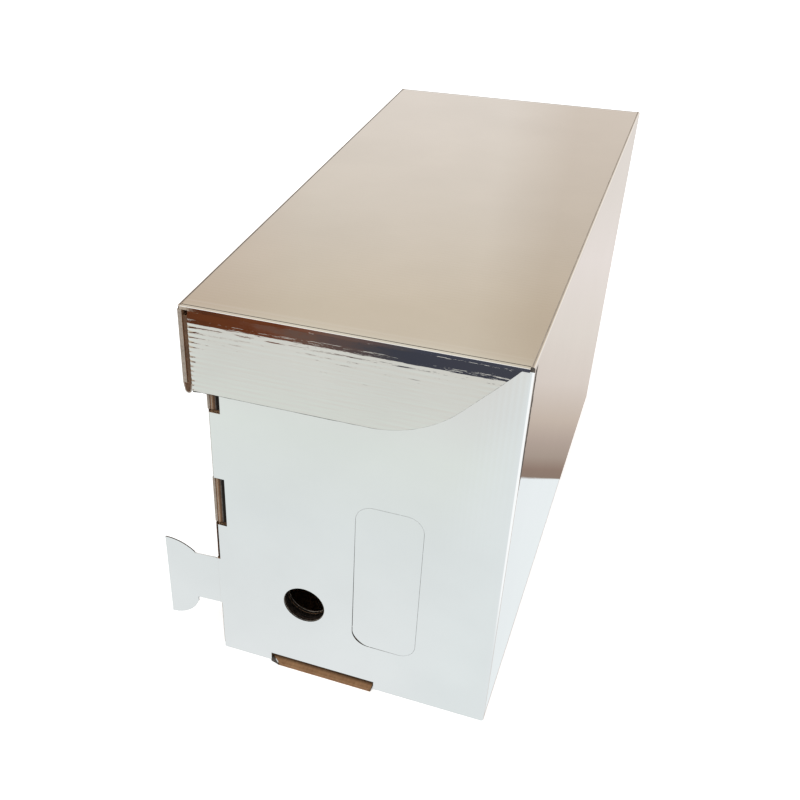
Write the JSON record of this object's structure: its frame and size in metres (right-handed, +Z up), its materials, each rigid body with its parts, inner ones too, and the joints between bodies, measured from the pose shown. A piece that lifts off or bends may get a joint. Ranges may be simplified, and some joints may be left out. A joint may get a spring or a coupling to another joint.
{
  "type": "nuc box",
  "caption": "Folded corrugated-board nuc box faced with silver film: hinged lid with end flaps and side skirt, locking end panels, round entrance, knock-out vent and frame rests.",
  "frame": {"origin": "middle of the underside of the floor", "axes": "+Z up, +X towards the lid's hinge wall, -Y towards the entrance end"},
  "size_m": [0.2592, 0.502, 0.311],
  "materials": {
    "film_board": "corrugated board faced with bright metallised film outside, bare brown kraft inside",
    "kraft_board": "bare brown kraft corrugated board",
    "grille": "moulded grey plastic"
  },
  "bodies": {
    "carcass": {"floor_panel": "film_board", "left_wall": "film_board", "right_wall": "film_board", "front_panel": "film_board", "rear_panel": "film_board", "front_inner_leaf": "film_board", "front_corner_flap": "kraft_board", "front_rollover_leaf": "film_board", "front_frame_rest": "film_board", "rear_inner_leaf": "film_board", "rear_corner_flap": "kraft_board", "rear_rollover_leaf": "film_board", "rear_frame_rest": "film_board", "vent_grille": "grille"},
    "lid": {"lid_top": "film_board"},
    "front_flap": {"lid_front_flap": "film_board"},
    "rear_flap": {"lid_rear_flap": "film_board"},
    "skirt": {"lid_skirt": "film_board", "lid_skirt_fold": "film_board", "lid_skirt_lining": "film_board"},
    "front_tongue": {"front_lock_tongue": "film_board"},
    "rear_tongue": {"rear_lock_tongue": "film_board"},
    "knockout": {"vent_knockout": "film_board"}
  },
  "joints": [
    {"name": "lid_hinge", "type": "hinge", "parent": "carcass", "child": "lid", "pos_m": [0.10825, 0, 0.311], "axis": [0, 1, 0], "range_deg": [0, 240]},
    {"name": "front_flap_crease", "type": "hinge", "parent": "lid", "child": "front_flap", "pos_m": [0, -0.24946, 0.308], "axis": [-1, 0, 0], "range_deg": [0, 135]},
    {"name": "rear_flap_crease", "type": "hinge", "parent": "lid", "child": "rear_flap", "pos_m": [0, 0.24946, 0.308], "axis": [1, 0, 0], "range_deg": [0, 135]},
    {"name": "skirt_crease", "type": "hinge", "parent": "lid", "child": "skirt", "pos_m": [-0.12255, 0, 0.308], "axis": [0, 1, 0], "range_deg": [0, 90]},
    {"name": "front_tongue_crease", "type": "hinge", "parent": "carcass", "child": "front_tongue", "pos_m": [-0.10865, -0.243, 0.0724], "axis": [0, 0, -1], "range_deg": [0, 93]},
    {"name": "rear_tongue_crease", "type": "hinge", "parent": "carcass", "child": "rear_tongue", "pos_m": [-0.10865, 0.243, 0.0724], "axis": [0, 0, -1], "range_deg": [0, 90]},
    {"name": "knockout_pull", "type": "slide", "parent": "carcass", "child": "knockout", "axis": [0, -1, 0], "range_m": [0, 0.06]}
  ]
}
